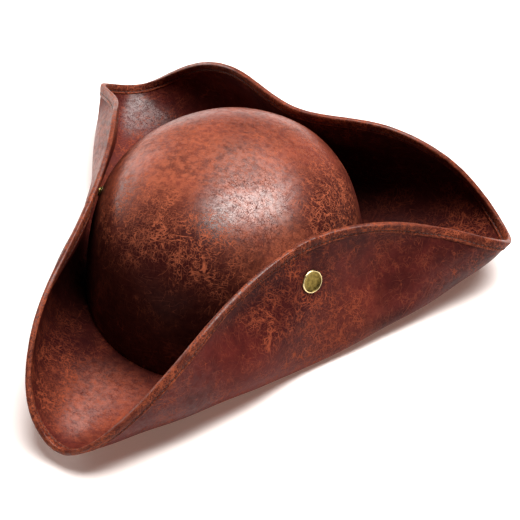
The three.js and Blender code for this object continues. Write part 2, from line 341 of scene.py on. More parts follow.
def spread_over(tree, where, places, elsewhere=0.0):
    """A share that is strongest round named places of the hide and fades out from them. A place
    is its right, back and up, its reach in millimetres, and its strength."""
    shares = [elsewhere]
    for centre, reach, strength in places:
        away = tree.nodes.new("ShaderNodeVectorMath")
        away.operation = "DISTANCE"
        feed(tree, away.inputs[0], where)
        feed(tree, away.inputs[1], [number * MM for number in centre])
        faded = (0.3 * reach * MM, reach * MM)
        shares.append(ramp(tree, away.outputs["Value"], *faded, strength, 0.0))
    return strongest(tree, shares)


TOP_COAT_ROUGHNESS = 0.32
# The dyed surface under the top coat is nearly matt.
BARE_GLOSS = 0.03
HIDE_RELIEF = 0.5 * MM


def finish_hide(tree, shader, where, dyes, shares, relief):
    hide = use_group(tree, DISTRESSED_LEATHER, Where=where, **dyes, **shares)
    feed(tree, shader.inputs["Base Color"], hide.outputs["Colour"])
    feed(tree, shader.inputs["Roughness"], hide.outputs["Roughness"])
    feed(tree, shader.inputs["Coat Weight"], hide.outputs["Top Coat"])
    shader.inputs["Coat Roughness"].default_value = TOP_COAT_ROUGHNESS
    shader.inputs["Specular IOR Level"].default_value = BARE_GLOSS
    add_bump(tree, shader, hide.outputs["Height"], relief)


def hide_material(name, dyes, **places):
    """Distressed leather, with the places of each effect, as spread_over takes them."""
    made, tree, shader = new_material(name)
    where = object_place(tree)
    shares = {share: spread_over(tree, where, spots) for share, spots in places.items()}
    finish_hide(tree, shader, where, dyes, shares, HIDE_RELIEF)
    return made


CROWN_DYES = {"Dark_Dye": (0.026, 0.0042, 0.0044, 1), "Light_Dye": (0.125, 0.024, 0.018, 1),
              "Rust": (0.33, 0.085, 0.041, 1)}
crown_leather = hide_material(
    "crown leather", CROWN_DYES,
    Worn=[((76, 54, 76), 56, 1.0), ((-10, -36, 93), 40, 0.9), ((20, -34, 92), 40, 0.9),
          ((38, -32, 86), 32, 0.8), ((-42, -22, 86), 34, 0.7), ((-20, 50, 108), 60, 0.3),
          ((-76, 62, 68), 46, 0.9), ((-28, 116, 70), 44, 0.8), ((44, 112, 66), 40, 0.9)],
    Crazed=[((37, 3, 104), 50, 1.0), ((20, -34, 92), 34, 0.5)],
    # Rust dust, and painted light: the crown's lit top, back and right side are dusted paler.
    Rubbed=[((-30, 16, 107), 72, 0.85), ((0, 66, 104), 84, 0.52), ((54, -6, 93), 42, 0.7),
            ((24, 26, 108), 46, 0.8)],
    # Painted shade: the crown's low front and left side, between it and the flaps, get more of the
    # dark dye.
    Darkened=[((-5, -62, 42), 66, 1.0), ((33, -54, 50), 44, 1.0), ((-64, -32, 46), 52, 1.0)],
    Polished=[((40, -4, 101), 52, 1.0), ((30, 20, 106), 50, 0.8), ((-10, 60, 104), 84, 0.7),
              ((-50, 0, 85), 60, 0.3), ((0, 0, 60), 200, 0.03)])


NAP_RELIEF = 0.6 * MM


def suede_material():
    """The flesh side of the hide: matt, fibrous and paler."""
    made, tree, shader = new_material("leather flesh side")
    where = object_place(tree)
    nap = clouds(tree, where, 700, 4, 0.75)
    mottle = clouds(tree, where, 30, 4, 0.6)
    tone = blend_colour(tree, ramp(tree, mottle, 0.3, 0.7),
                        (0.11, 0.052, 0.032, 1), (0.19, 0.10, 0.062, 1))
    tone = blend_colour(tree, ramp(tree, nap, 0.35, 0.7, 0.0, 0.5), tone,
                        (0.27, 0.16, 0.10, 1))
    feed(tree, shader.inputs["Base Color"], tone)
    shader.inputs["Roughness"].default_value = 0.92
    shader.inputs["Specular IOR Level"].default_value = 0.2
    add_bump(tree, shader, nap, NAP_RELIEF)
    return made


flesh_side = suede_material()
crown_low, crown_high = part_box("crown")
CROWN_MIDDLE = Vector(((crown_low.x + crown_high.x) / 2, (crown_low.y + crown_high.y) / 2, 0))
CROWN_HALF_WIDTH = (crown_high.x - crown_low.x) / 2
CROWN_HALF_LENGTH = (crown_high.y - crown_low.y) / 2
BRIM_MIDDLE = 0.9 * MM
CROWN_RISE = crown_high.z - BRIM_MIDDLE
# The dome is fuller than a half ellipse, by shares of waves that repeat 2, 4 and 6 times in a
# whole turn of its profile.
DOME_WAVES = {2: 0.1, 4: -0.03, 6: -0.01}


def dome_size(rise):
    """The size of a ring beside the bottom one, at an angle up the quarter turn of the profile."""
    size = cos(rise)
    for repeats, share in DOME_WAVES.items():
        size += share * sin(repeats * rise)
    return size


def as_piece(name, mesh_maker, *materials):
    """A smooth-shaded object from a bmesh, in the row's frame."""
    mesh = bpy.data.meshes.new(name)
    mesh_maker.to_mesh(mesh)
    mesh_maker.free()
    for material in materials:
        mesh.materials.append(material)
    mesh.shade_smooth()
    piece = bpy.data.objects.new(name, mesh)
    bpy.context.scene.collection.objects.link(piece)
    return piece


def thicken(piece, thickness, offset, inner_material=0):
    solid = piece.modifiers.new("thickness", "SOLIDIFY")
    solid.thickness = thickness
    solid.offset = offset
    solid.use_even_offset = True
    solid.material_offset = inner_material


# The unevenness is drawn from a fixed seed, so that every run bends the hide the same way.
UNEVENNESS_SEED = 1
noise.seed_set(UNEVENNESS_SEED)


def handmade(point, size, amount):
    """A slow unevenness of the hide, as a small offset."""
    return amount * noise.noise_vector(point / size)


dome = bmesh.new()
profile = [dome.verts.new((CROWN_HALF_LENGTH, 0, 0))]
for ring in range(DOME_RINGS + 1):
    rise = ring / DOME_RINGS * pi / 2
    out = max(dome_size(rise), 0) if ring < DOME_RINGS else 0
    height = BRIM_MIDDLE + CROWN_RISE * sin(rise)
    profile.append(dome.verts.new((out * CROWN_HALF_LENGTH, 0, height)))
profile_edges = [dome.edges.new(pair) for pair in zip(profile, profile[1:])]
bmesh.ops.spin(dome, geom=profile + profile_edges, axis=(0, 0, 1), cent=(0, 0, 0), angle=2 * pi,
               steps=DOME_SIDES, use_merge=True)
bmesh.ops.remove_doubles(dome, verts=dome.verts, dist=0.02 * MM)
bmesh.ops.scale(dome, vec=(CROWN_HALF_WIDTH / CROWN_HALF_LENGTH, 1, 1), verts=dome.verts)
bmesh.ops.translate(dome, vec=CROWN_MIDDLE, verts=dome.verts)
for vert in dome.verts:
    loose = min(vert.co.z / CROWN_EVEN_FOOT, 1)
    vert.co += handmade(vert.co, CROWN_SWELL, CROWN_UNEVENNESS) * loose
bmesh.ops.recalc_face_normals(dome, faces=dome.faces)
crown_surface = BVHTree.FromBMesh(dome)
crown = as_piece("crown_leather", dome, crown_leather, flesh_side)
thicken(crown, CROWN_THICKNESS, -1, 1)
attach(crown, "root")
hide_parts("crown")

# The brim: one ring of the same hide, sewn round the crown and turned up into three flaps. The
# flaps lean on the crown's sides and back and leave a gutter at each of the three corners.
BRIM_THICKNESS = 1.8 * MM
# The leather's slow unevenness, and how far from the binding and the crown it is full.
BRIM_UNEVENNESS = 0.9 * MM
BRIM_SWELL = 34 * MM
BRIM_EVEN_EDGE = 25 * MM
BRIM_EVEN_SEAM = 15 * MM
# How far the brim reaches into the crown's edge, and how far its own edge stays in the binding.
SEAM_OVERLAP = 0.2 * MM
INSIDE_FOLD = 0.7 * MM
BRIM_SECTIONS = [
    # turn in degrees, then right, back and up in millimetres of four points from the crown out
    {"turn": 0, "floor": (0, -114, 0), "fold": (0, -145, 1),
     "wall": (0, -176, 3), "edge": (0, -190, 12)},
    {"turn": 8, "floor": (15, -113, 0), "fold": (19, -143, 1),
     "wall": (23, -174, 11), "edge": (20, -185, 23)},
    {"turn": 18, "floor": (32, -109, 0), "fold": (44, -139, 4),
     "wall": (42, -160, 30), "edge": (36, -167, 42)},
    {"turn": 32, "floor": (56, -98, 0), "fold": (72, -119, 24),
     "wall": (55, -128, 51), "edge": (49, -131, 64)},
    {"turn": 50, "floor": (78, -74, 0), "fold": (92, -79, 48),
     "wall": (54, -77, 62), "edge": (59, -80, 81)},
    {"turn": 70, "floor": (100, -40, 0), "fold": (88, -30, 49),
     "wall": (81, -22, 70), "edge": (77, -21, 90)},
    {"turn": 90, "floor": (116, -4, 0), "fold": (118, 6, 27),
     "wall": (101, 29, 59), "edge": (109, 32, 76)},
    {"turn": 106, "floor": (103, 31, 0), "fold": (145, 38, 1),
     "wall": (138, 52, 47), "edge": (136, 67, 55)},
    {"turn": 119, "floor": (96, 55, 0), "fold": (126, 72, 1),
     "wall": (156, 82, 21), "edge": (159, 89, 40)},
    {"turn": 129, "floor": (85, 72, 0), "fold": (112, 91, 7),
     "wall": (139, 109, 14), "edge": (150, 115, 25)},
    {"turn": 138, "floor": (73, 85, 0), "fold": (97, 108, 5),
     "wall": (117, 128, 27), "edge": (127, 123, 39)},
    {"turn": 150, "floor": (55, 100, 0), "fold": (71, 127, 19),
     "wall": (86, 124, 51), "edge": (96, 120, 63)},
    {"turn": 164, "floor": (31, 113, 0), "fold": (36, 128, 38),
     "wall": (50, 104, 62), "edge": (53, 105, 82)},
    {"turn": 180, "floor": (0, 119, 0), "fold": (0, 109, 44),
     "wall": (0, 89, 63), "edge": (0, 90, 83)},
]
RAILS = ("floor", "fold", "wall", "edge")
COLUMNS = 720
ROWS = 48
PATH_STEPS = 90
NORMAL_REACH = 0.8 * MM


def mirrored(section):
    flipped = {rail: (-section[rail][0], *section[rail][1:]) for rail in RAILS}
    return {"turn": 360 - section["turn"], **flipped}


all_sections = BRIM_SECTIONS + [mirrored(section) for section in reversed(BRIM_SECTIONS[1:-1])]
section_turns = np.array([section["turn"] for section in all_sections], float)
spans = np.diff(np.append(section_turns, 360))


def closed_spline(values):
    """The bends of a smooth closed curve through a value at each section's turn."""
    count = len(values)
    slopes = (np.roll(values, -1, 0) - values) / spans[:, None]
    system = np.zeros((count, count))
    for i in range(count):
        system[i, i - 1] += spans[i - 1]
        system[i, i] += 2 * (spans[i - 1] + spans[i])
        system[i, (i + 1) % count] += spans[i]
    return np.linalg.solve(system, 6 * (slopes - np.roll(slopes, 1, 0)))


rail_points = {rail: np.array([section[rail] for section in all_sections], float) * MM
               for rail in RAILS}
rail_bends = {rail: closed_spline(points) for rail, points in rail_points.items()}


def rail_at(rail, turn):
    """The point of one of the brim's four rails at a turn round the hat."""
    i = int(np.searchsorted(section_turns, turn, side="right")) - 1
    after = (i + 1) % len(section_turns)
    b = (turn - section_turns[i]) / spans[i]
    a = 1 - b
    points, bends = rail_points[rail], rail_bends[rail]
    curved = ((a ** 3 - a) * bends[i] + (b ** 3 - b) * bends[after]) * spans[i] ** 2 / 6
    return a * points[i] + b * points[after] + curved


def bezier(points, steps):
    part = np.linspace(0, 1, steps)[:, None]
    rest = 1 - part
    first, second, third, last = points
    return (rest ** 3 * first + 3 * rest ** 2 * part * second
            + 3 * rest * part ** 2 * third + part ** 3 * last)


@cache
def brim_path(column):
    """The brim's middle line from the crown to its edge, and the length up to each point."""
    turn = (column % COLUMNS) * 360 / COLUMNS
    angle = radians(turn)
    start = np.array([(CROWN_HALF_WIDTH - SEAM_OVERLAP) * sin(angle),
                      -(CROWN_HALF_LENGTH - SEAM_OVERLAP) * cos(angle), 0])
    floor, fold, wall, edge = (rail_at(rail, turn) for rail in RAILS)
    low, high = (floor + fold) / 2, (fold + wall) / 2
    middle = (low + high) / 2
    line = np.vstack([bezier((start, floor, low, middle), PATH_STEPS),
                      bezier((middle, high, wall, edge), PATH_STEPS)[1:]])
    line += np.array([0, CROWN_MIDDLE.y, BRIM_MIDDLE])
    lengths = np.append(0, np.cumsum(np.linalg.norm(np.diff(line, axis=0), axis=1)))
    return line, lengths


def brim_width(column):
    """The width of the leather at a column, measured along it."""
    return brim_path(column)[1][-1]


def on_path(column, from_edge):
    """A point on the brim's middle, a way in from its edge."""
    line, lengths = brim_path(column)
    reach = lengths[-1] - from_edge
    return Vector([np.interp(reach, lengths, line[:, axis]) for axis in range(3)])


def brim_normal(column, from_edge):
    """The direction square to the brim, on the face that looks up and towards the crown."""
    inner = min(from_edge + NORMAL_REACH, brim_width(column))
    out = on_path(column, max(from_edge - NORMAL_REACH, 0)) - on_path(column, inner)
    aside = on_path(column + 1, from_edge) - on_path(column - 1, from_edge)
    return out.cross(aside).normalized()


def brim_point(column, from_edge, lift=0.0):
    """A point a way in from the brim's edge and lifted off its middle, also between columns."""
    whole = int(column // 1)
    share = column - whole
    at = on_path(whole, from_edge) + lift * brim_normal(whole, from_edge)
    if share > 0:
        after = on_path(whole + 1, from_edge) + lift * brim_normal(whole + 1, from_edge)
        at = at.lerp(after, share)
    return at


edge_steps = [(on_path(column + 1, 0) - on_path(column, 0)).length for column in range(COLUMNS)]
edge_lengths = np.append(0, np.cumsum(edge_steps))


def swept_round(points_across, place_at):
    """A strip all round the hat from a flat grid, whose points place_at moves into their place."""
    strip = bmesh.new()
    bmesh.ops.create_grid(strip, x_segments=COLUMNS, y_segments=points_across, size=0.5)
    along_edge = strip.loops.layers.uv.new("along edge")
    spots = {}
    for vert in strip.verts:
        column, share = round((vert.co.x + 0.5) * COLUMNS), vert.co.y + 0.5
        spots[vert] = (column, *place_at(column, share))
    for face in strip.faces:
        for loop in face.loops:
            column, _, from_edge = spots[loop.vert]
            loop[along_edge].uv = (edge_lengths[column], from_edge)
    for vert, (_, point, _) in spots.items():
        vert.co = point
    bmesh.ops.remove_doubles(strip, verts=strip.verts, dist=0.01 * MM)
    return strip


# Each flap is pinned by one snap: its turn round the hat in degrees, and how far in from the
# brim's edge it sits. The leather is flat within one radius of it and free beyond another.
SNAPS = [
    {"side": "right", "turn": 68, "from_edge": 28 * MM},
    {"side": "left", "turn": 292, "from_edge": 28 * MM},
    {"side": "back", "turn": 180, "from_edge": 25 * MM},
]
PRESSED_RADIUS = 8 * MM
PRESSED_REACH = 15 * MM


def snap_frame(snap):
    """A matrix at the middle of the leather, with Z pointing away from the crown."""
    column = snap["turn"] * COLUMNS / 360
    place = brim_point(column, snap["from_edge"])
    outward = -brim_normal(int(column), snap["from_edge"])
    turned = outward.to_track_quat("Z", "Y").to_matrix().to_4x4()
    return Matrix.Translation(place) @ turned


snap_frames = {snap["side"]: snap_frame(snap) for snap in SNAPS}


def pressed_flat(point):
    """The leather round a snap, drawn in flat under its cap."""
    for place in snap_frames.values():
        local = place.inverted() @ point
        away = Vector((local.x, local.y)).length
        if away < PRESSED_REACH and abs(local.z) < PRESSED_REACH:
            ease = 1 - min(max((away - PRESSED_RADIUS) / (PRESSED_REACH - PRESSED_RADIUS), 0), 1)
            ease = ease * ease * (3 - 2 * ease)
            local.z *= 1 - ease
            return place @ local
    return point


def brim_place(column, share):
    from_edge = INSIDE_FOLD + (1 - share) * (brim_width(column) - INSIDE_FOLD)
    point = on_path(column, from_edge)
    from_crown = brim_width(column) - from_edge
    loose = min(from_edge / BRIM_EVEN_EDGE, from_crown / BRIM_EVEN_SEAM, 1)
    point += handmade(point, BRIM_SWELL, BRIM_UNEVENNESS) * loose
    point.z = max(point.z, BRIM_MIDDLE)
    return pressed_flat(point), from_edge


# Painted shade: the brim is the crown's hide, but its light dye and rust are made darker than the
# crown's, to keep the flaps dark under lights set for the crown.
SHADED_BRIM_DYES = {"Dark_Dye": (0.026, 0.0040, 0.0048, 1), "Light_Dye": (0.100, 0.0140, 0.0120, 1),
             "Rust": (0.27, 0.060, 0.028, 1)}
brim_leather = hide_material(
    "brim leather", SHADED_BRIM_DYES,
    Worn=[((74, -24, 60), 44, 0.8), ((88, -8, 42), 50, 0.7), ((97, 4, 26), 44, 0.6),
          ((-46, -104, 14), 36, 1.0), ((-34, -126, 18), 28, 1.0), ((-60, -76, 12), 34, 0.6),
          ((115, 148, 22), 40, 0.7), ((0, 0, 0), 400, 0.22)],
    Crazed=[((-15, -108, 4), 56, 0.7), ((-137, 134, 16), 50, 1.0)],
    # Rust dust, and painted light: the lit floor of the front gutter and the lit outer face of the
    # left flap are dusted paler.
    Rubbed=[((-8, -109, 3), 48, 1.1), ((100, 10, 14), 50, 0.35), ((-120, 58, 44), 50, 1.1)],
    # Painted shade: the insides of the left and back flaps and the left gutter's wall get more of
    # the dark dye.
    Darkened=[((-82, -26, 26), 66, 1.0), ((-56, -84, 12), 36, 1.0), ((-44, -112, 16), 28, 0.8),
              ((60, 150, 32), 90, 1.0), ((0, 112, 60), 70, 1.0)],
    Polished=[((-137, 134, 16), 34, 0.58), ((-7, -110, 3), 52, 1.0), ((-120, 58, 44), 50, 0.56),
              ((52, -118, 36), 60, 0.25), ((130, 100, 20), 60, 0.2), ((0, 0, 0), 400, 0.06)])
brim_strip = swept_round(ROWS, brim_place)
brim = as_piece("brim_leather", brim_strip, brim_leather)
thicken(brim, BRIM_THICKNESS, 0)
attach(brim, "root")
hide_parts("brim")

# The edge binding: a strip of thin leather folded over the brim's edge and sewn through with
# one row of lockstitch. The thread sinks into a groove, and the raw edge stands up beside it.
BINDING_FACE = [
    # millimetres in from the brim's edge, and how high the strip stands over the brim's face
    {"from_edge": 0.0, "height": 0.15}, {"from_edge": 0.25, "height": 0.55},
    {"from_edge": 0.8, "height": 0.85}, {"from_edge": 1.8, "height": 0.95},
    {"from_edge": 3.2, "height": 0.9}, {"from_edge": 4.4, "height": 0.72},
    {"from_edge": 5.0, "height": 0.42}, {"from_edge": 5.4, "height": 0.22},
    {"from_edge": 5.8, "height": 0.42}, {"from_edge": 6.2, "height": 0.68},
    {"from_edge": 6.8, "height": 0.66}, {"from_edge": 7.3, "height": 0.4},
    {"from_edge": 7.5, "height": -0.1},
]
BINDING_WIDTH = BINDING_FACE[-1]["from_edge"] * MM
STITCH_LINE = 5.4 * MM
# The strip's end laps over its start on the right flap: the columns of the step and of the end.
LAP_COLUMNS = (131, 141)
LAP_HEIGHT = 0.5 * MM
LAP_PUSH = 0.8 * MM
BINDING_UNEVENNESS = 0.12 * MM
BINDING_SWELL = 7 * MM
BINDING_RELIEF = 0.3 * MM
half_brim = BRIM_THICKNESS / 2
binding_outline = [(-(half_brim + step["height"] * MM), step["from_edge"] * MM)
                   for step in reversed(BINDING_FACE)]
binding_outline += [(half_brim + step["height"] * MM, step["from_edge"] * MM)
                    for step in BINDING_FACE]


def lapped(column, point, face):
    """Lifts a point of the strip and pushes it out where the strip's end lies over its start."""
    if not LAP_COLUMNS[0] < column <= LAP_COLUMNS[1]:
        return point
    whole = round(column)
    outwards = (on_path(whole, 0) - on_path(whole, MM)).normalized()
    return point + LAP_PUSH * outwards + face * LAP_HEIGHT * brim_normal(whole, MM)


def binding_place(column, share):
    lift, from_edge = binding_outline[round(share * (len(binding_outline) - 1))]
    point = brim_point(column, from_edge, lift)
    if from_edge < BINDING_WIDTH:
        point += handmade(point, BINDING_SWELL, BINDING_UNEVENNESS)
        point = lapped(column, point, 1 if lift > 0 else -1)
    return point, from_edge


def binding_material():
    """The strip's leather: rubbed pale on its outer fold, with painted light on the left flap's lit
    corner and painted shade in the groove of the stitches.
    """
    made, tree, shader = new_material("binding leather")
    where = object_place(tree)
    spot = tree.nodes.new("ShaderNodeSeparateXYZ")
    along_edge = tree.nodes.new("ShaderNodeUVMap")
    along_edge.uv_map = "along edge"
    feed(tree, spot.inputs[0], along_edge.outputs[0])
    from_edge = spot.outputs["Y"]
    off_groove = math_node(tree, "ABSOLUTE", math_node(tree, "SUBTRACT", from_edge, STITCH_LINE))
    groove = ramp(tree, off_groove, 0.2 * MM, 0.7 * MM, 1.0, 0.0)
    fold = ramp(tree, from_edge, 0.1 * MM, 0.8 * MM, 1.0, 0.0)
    rubbed = math_node(tree, "MULTIPLY_ADD", fold, 0.2, 0.35)
    polished = math_node(tree, "MULTIPLY_ADD", fold, 0.5, 0.06)
    # The groove's darkening is painted shade, and the pale spot at the left flap's corner is painted
    # light.
    shares = {"Worn": 0.8, "Crazed": 0.0, "Darkened": math_node(tree, "MULTIPLY", groove, 2.0),
              "Rubbed": spread_over(tree, where, [((-126, 104, 44), 56, 0.9)], rubbed),
              "Polished": spread_over(tree, where, [((-126, 104, 44), 56, 0.5)], polished)}
    dyes = {"Dark_Dye": (0.030, 0.005, 0.005, 1), "Light_Dye": (0.120, 0.021, 0.014, 1),
            "Rust": (0.30, 0.074, 0.034, 1)}
    finish_hide(tree, shader, where, dyes, shares, BINDING_RELIEF)
    return made


binding_leather = binding_material()
binding_strip = swept_round(len(binding_outline) - 1, binding_place)
binding = as_piece("edge_binding_leather", binding_strip, binding_leather)
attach(binding, "root")
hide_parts("edge_binding")

# The binding's stitches: waxed brown thread on both faces of the brim, about three millimetres
# to a stitch, each one sunk between two needle holes.
STITCH_SPACING = 3.1 * MM
STITCH_LENGTH = 2.3 * MM
THREAD_RADIUS = 0.26 * MM
THREAD_RELIEF = 0.1 * MM
# How high the thread's middle lies over the brim's face, in the binding's groove.
STITCH_HEIGHT = 0.36 * MM
STITCHES_IN_BATCH = 25


def thread_material():
    made, tree, shader = new_material("waxed thread")
    where = object_place(tree)
    twist = clouds(tree, where, 1500, 2)
    tone = blend_colour(tree, twist, (0.035, 0.012, 0.010, 1), (0.10, 0.04, 0.028, 1))
    feed(tree, shader.inputs["Base Color"], tone)
    shader.inputs["Roughness"].default_value = 0.6
    add_bump(tree, shader, twist, THREAD_RELIEF)
    return made


waxed_thread = thread_material()


def column_at(length):
    return float(np.interp(length, edge_lengths, np.arange(COLUMNS + 1)))


def add_stitch(maker, middle, ahead, up, length):
    """One stitch as a long bead of thread, from its middle, its direction and the leather's face."""
    aside = up.cross(ahead).normalized()
    turned = Matrix((ahead * length / 2, aside * THREAD_RADIUS, up * THREAD_RADIUS)).transposed()
    placed = Matrix.Translation(middle) @ turned.to_4x4()
    bmesh.ops.create_uvsphere(maker, u_segments=6, v_segments=7, radius=1, matrix=placed)


def stitch_batch(columns):
    """A short run of stitches on both faces, as a mesh."""
    maker = bmesh.new()
    for column in columns:
        for face in (-1, 1):
            lift = face * (half_brim + STITCH_HEIGHT)
            start = brim_point((column - 0.5) % COLUMNS, STITCH_LINE, lift)
            end = brim_point((column + 0.5) % COLUMNS, STITCH_LINE, lift)
            middle = lapped(column, (start + end) / 2, face)
            ahead = (end - start).normalized()
            up = face * brim_normal(round(column), STITCH_LINE)
            up = (up - ahead * up.dot(ahead)).normalized()
            add_stitch(maker, middle, ahead, up, STITCH_LENGTH)
    batch = bpy.data.meshes.new("batch of stitches")
    maker.to_mesh(batch)
    maker.free()
    return batch


stitch_count = round(edge_lengths[-1] / STITCH_SPACING)
stitch_columns = [column_at(number / stitch_count * edge_lengths[-1])
                  for number in range(stitch_count)]
stitches = bmesh.new()
for first in range(0, stitch_count, STITCHES_IN_BATCH):
    batch = stitch_batch(stitch_columns[first:first + STITCHES_IN_BATCH])
    stitches.from_mesh(batch)
    bpy.data.meshes.remove(batch)
binding_stitches = as_piece("binding_stitches", stitches, waxed_thread)
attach(binding_stitches, "root")

# The crown's seam: slanted whip stitches of the same thread, up the inside of the crown's wall
# all round its bottom edge, that hold the brim to it.
SEAM_STITCHES = 120
SEAM_STITCH_LENGTH = 4.4 * MM
SEAM_STITCH_HEIGHT = 3.3 * MM
SEAM_SLANT = radians(32)
seam_stitches = bmesh.new()
for number in range(SEAM_STITCHES):
    angle = 2 * pi * number / SEAM_STITCHES
    outside = Vector((CROWN_HALF_WIDTH * sin(angle), -CROWN_HALF_LENGTH * cos(angle),
                      SEAM_STITCH_HEIGHT))
    wall, outward, _, _ = crown_surface.find_nearest(CROWN_MIDDLE + outside)
    round_crown = Vector((0, 0, 1)).cross(outward).normalized()
    up_wall = outward.cross(round_crown)
    ahead = cos(SEAM_SLANT) * up_wall + sin(SEAM_SLANT) * round_crown
    middle = wall - outward * (CROWN_THICKNESS + THREAD_RADIUS / 2)
    add_stitch(seam_stitches, middle, ahead, -outward, SEAM_STITCH_LENGTH)
crown_seam = as_piece("crown_seam_stitches", seam_stitches, waxed_thread)
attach(crown_seam, "root")

# The snaps: a dished brass cap outside each flap, a post through the flap to a spring socket,
# and a stud on the crown that the socket clicks on to, held by a back plate inside the crown.
CAP_RADIUS = 7.5 * MM
SNAP_SIDES = 72
BRASS_RELIEF = 0.08 * MM
# Every part of a snap is turned round its axis from rows of a radius and a height in
# millimetres, and how bright that ring is rubbed. The cap's radii count inwards from its rim.
CAP_BACK = [(0, -0.4, 0), (2, -0.4, 0)]
CAP_FACE = [
    # the rolled rim, then the dish from its wall to the middle
    (0.55, 0.0, 0.2), (0.15, 0.25, 0.4), (0.0, 0.65, 0.7), (0.08, 1.0, 0.8), (0.3, 1.3, 0.9),
    (0.6, 1.42, 0.9), (0.9, 1.32, 0.4), (1.15, 1.05, 0.1), (1.6, 0.86, 0.0), (2.6, 0.68, 0.05),
    (4.0, 0.54, 0.1), (5.8, 0.48, 0.1), (7.5, 0.46, 0.1),
]
SOCKET_BACK = [(0, -0.4, 0), (5.3, -0.4, 0)]
SOCKET_FACE = [
    (5.5, 0.0, 0.2), (5.5, 0.5, 0.6), (5.1, 0.85, 1.0), (4.3, 1.0, 0.8), (3.9, 0.85, 0.5),
    (3.8, 0.4, 0.0), (0.0, 0.4, 0.1),
]
STUD_PLATE = [(0, 0, 0), (4.4, 0.0, 0.2), (4.4, 0.3, 0.6), (4.1, 0.5, 0.8), (3.2, 0.55, 0.2)]
# The knob's heights count down from its top, which stops short of the flap inside the socket.
KNOB = [(3.0, -0.8, 0.2), (3.2, -0.4, 0.8), (2.6, 0.0, 1.0), (0.0, 0.0, 0.6)]
KNOB_STOPS_SHORT = 0.5
BACK_PLATE = [
    (0.0, 0.0, 0.0), (4.2, 0.0, 0.0), (4.6, 0.2, 0.4), (4.6, 0.45, 0.8), (4.2, 0.7, 0.8),
    (3.4, 0.8, 0.4), (0.0, 0.85, 0.3),
]


def brass_material():
    """Brass plate, rubbed bright on its raised rims and browned in its hollows."""
    made, tree, shader = new_material("antiqued brass")
    where = object_place(tree)
    tarnish = clouds(tree, where, 420, 4, 0.6)
    fine = clouds(tree, where, 1800, 2)
    rubbed = tree.nodes.new("ShaderNodeAttribute")
    rubbed.attribute_name = "rubbed"
    bright = math_node(tree, "MULTIPLY_ADD", tarnish, 0.3, rubbed.outputs["Fac"])
    bright = ramp(tree, bright, 0.25, 1.1)
    dull = blend_colour(tree, ramp(tree, tarnish, 0.35, 0.65), (0.12, 0.088, 0.022, 1),
                        (0.26, 0.195, 0.050, 1))
    feed(tree, shader.inputs["Base Color"], blend_colour(tree, bright, dull, (0.82, 0.68, 0.35, 1)))
    shader.inputs["Metallic"].default_value = 1.0
    rough = math_node(tree, "MULTIPLY_ADD", tarnish, 0.3, 0.25)
    feed(tree, shader.inputs["Roughness"], math_node(tree, "MULTIPLY_ADD", bright, -0.15, rough))
    add_bump(tree, shader, fine, BRASS_RELIEF)
    return made


antiqued_brass = brass_material()


def turned_piece(maker, profile, place):
    """A closed round body from a profile of radius, height and rub that ends on its axis."""
    rubbed = maker.verts.layers.float.get("rubbed") or maker.verts.layers.float.new("rubbed")
    line = []
    for radius, up, rub in profile:
        line.append(maker.verts.new((radius, 0, up)))
        line[-1][rubbed] = rub
    edges = [maker.edges.new(pair) for pair in zip(line, line[1:])]
    bmesh.ops.spin(maker, geom=line + edges, axis=(0, 0, 1), cent=(0, 0, 0), angle=2 * pi,
                   steps=SNAP_SIDES, use_merge=True)
    fresh = [vert for vert in maker.verts if not vert.tag]
    bmesh.ops.remove_doubles(maker, verts=fresh, dist=0.001 * MM)
    fresh = [vert for vert in maker.verts if not vert.tag]
    bmesh.ops.transform(maker, matrix=place, verts=fresh)
    for vert in fresh:
        vert.tag = True


def raised(profile, start, upwards=1):
    """A profile in millimetres, set on a level in metres and turned up or down."""
    return [(radius * MM, start + upwards * height * MM, rub) for radius, height, rub in profile]


for snap in SNAPS:
    side = snap["side"]
    place = snap_frames[side]
    inward = -(place.to_3x3() @ Vector((0, 0, 1)))
    to_crown = crown_surface.ray_cast(place.translation, inward)[3]
    cap = bmesh.new()
    front = [(CAP_RADIUS / MM - from_rim, height, rub) for from_rim, height, rub in CAP_FACE]
    turned_piece(cap, raised(CAP_BACK + front, half_brim), place)
    turned_piece(cap, raised(SOCKET_BACK + SOCKET_FACE, -half_brim, -1), place)
    bmesh.ops.recalc_face_normals(cap, faces=cap.faces)
    cap_piece = as_piece(f"snap_cap_{side}_brass", cap, antiqued_brass)
    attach(cap_piece, "root")
    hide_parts(f"snap_cap_{side}")
    stud = bmesh.new()
    knob_top = to_crown / MM - half_brim / MM - KNOB_STOPS_SHORT
    knob = [(radius, knob_top + height, rub) for radius, height, rub in KNOB]
    turned_piece(stud, raised(STUD_PLATE + knob, -to_crown), place)
    turned_piece(stud, raised(BACK_PLATE, -to_crown - CROWN_THICKNESS, -1), place)
    bmesh.ops.recalc_face_normals(stud, faces=stud.faces)
    stud_piece = as_piece(f"snap_stud_{side}_brass", stud, antiqued_brass)
    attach(stud_piece, "root")
    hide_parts(f"snap_stud_{side}")

# The floor: a plain pale studio table. Far from the hat it fades into the white backdrop, so
# that no edge of it shows in a low view.
FLOOR_SIZE = 5.0
FADE_START = 1.3
FADE_END = 2.4
